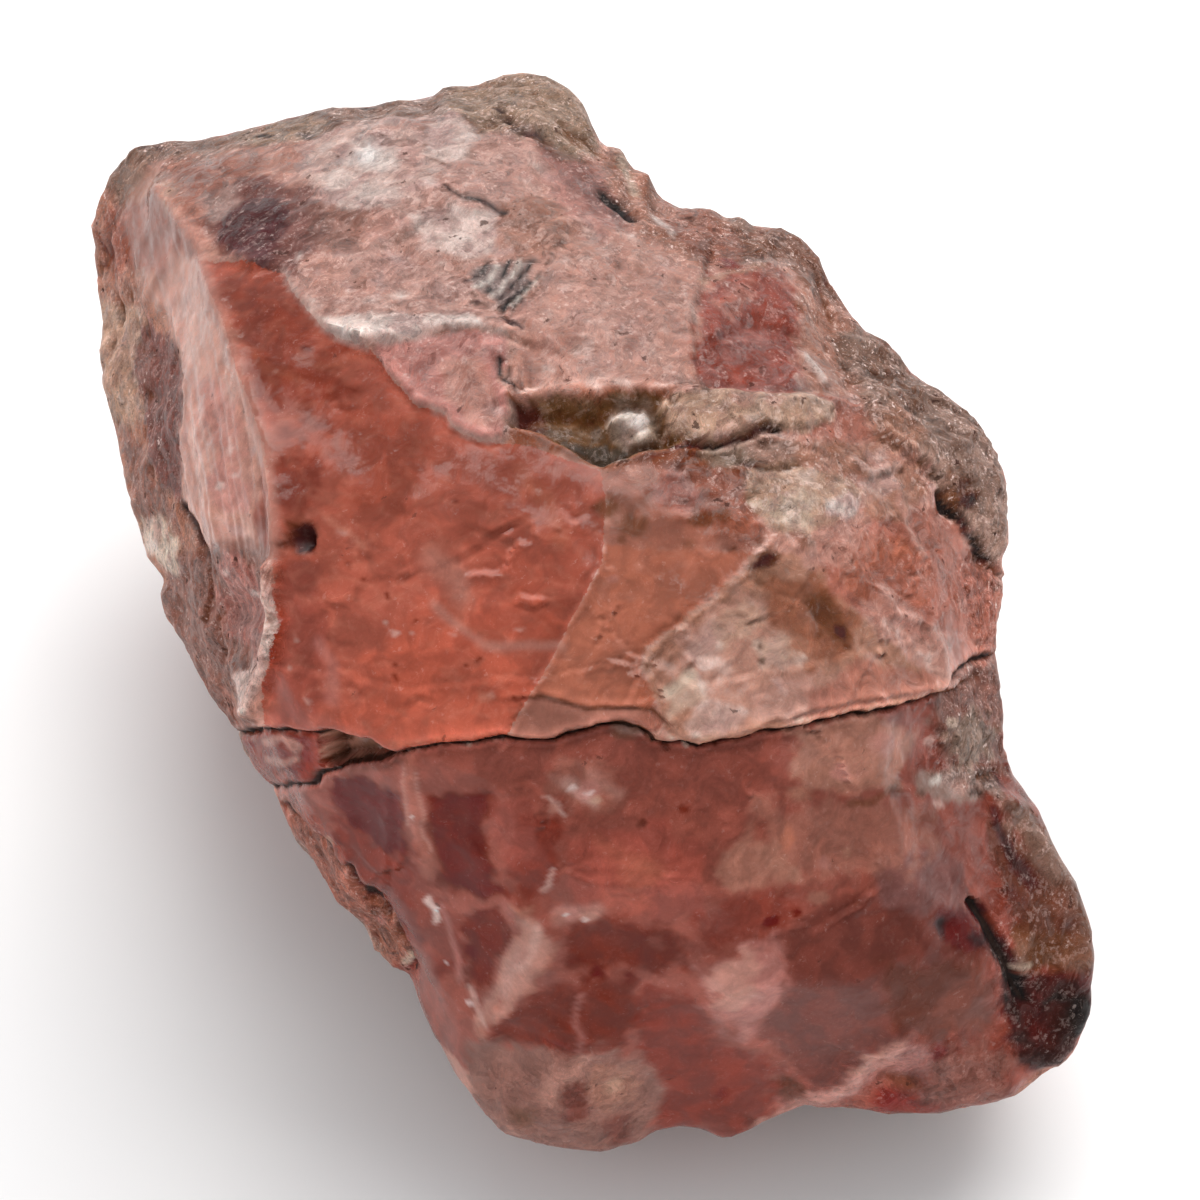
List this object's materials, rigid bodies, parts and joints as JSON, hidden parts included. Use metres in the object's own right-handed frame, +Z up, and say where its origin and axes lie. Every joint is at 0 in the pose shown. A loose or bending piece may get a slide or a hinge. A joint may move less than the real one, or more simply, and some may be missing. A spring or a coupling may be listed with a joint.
{
  "type": "rough morganite crystal specimen",
  "caption": "Rough lump of pink beryl with smooth translucent windows and a frosted, iron-stained crust, lying on a flat natural face.",
  "frame": {"origin": "under the middle of the stone, on the plane that it rests on", "axes": "+Z up from the resting face; +X along the stone's longest extent, towards its lower, narrower end; +Y completes the right-handed set"},
  "size_m": [0.0944, 0.0592, 0.0463],
  "materials": {
    "morganite": "rough broken crystal: glassy translucent coral windows between frosted pink-white crust, with brown iron stain"
  },
  "bodies": {
    "root": {"morganite_crystal": "morganite"}
  },
  "joints": []
}
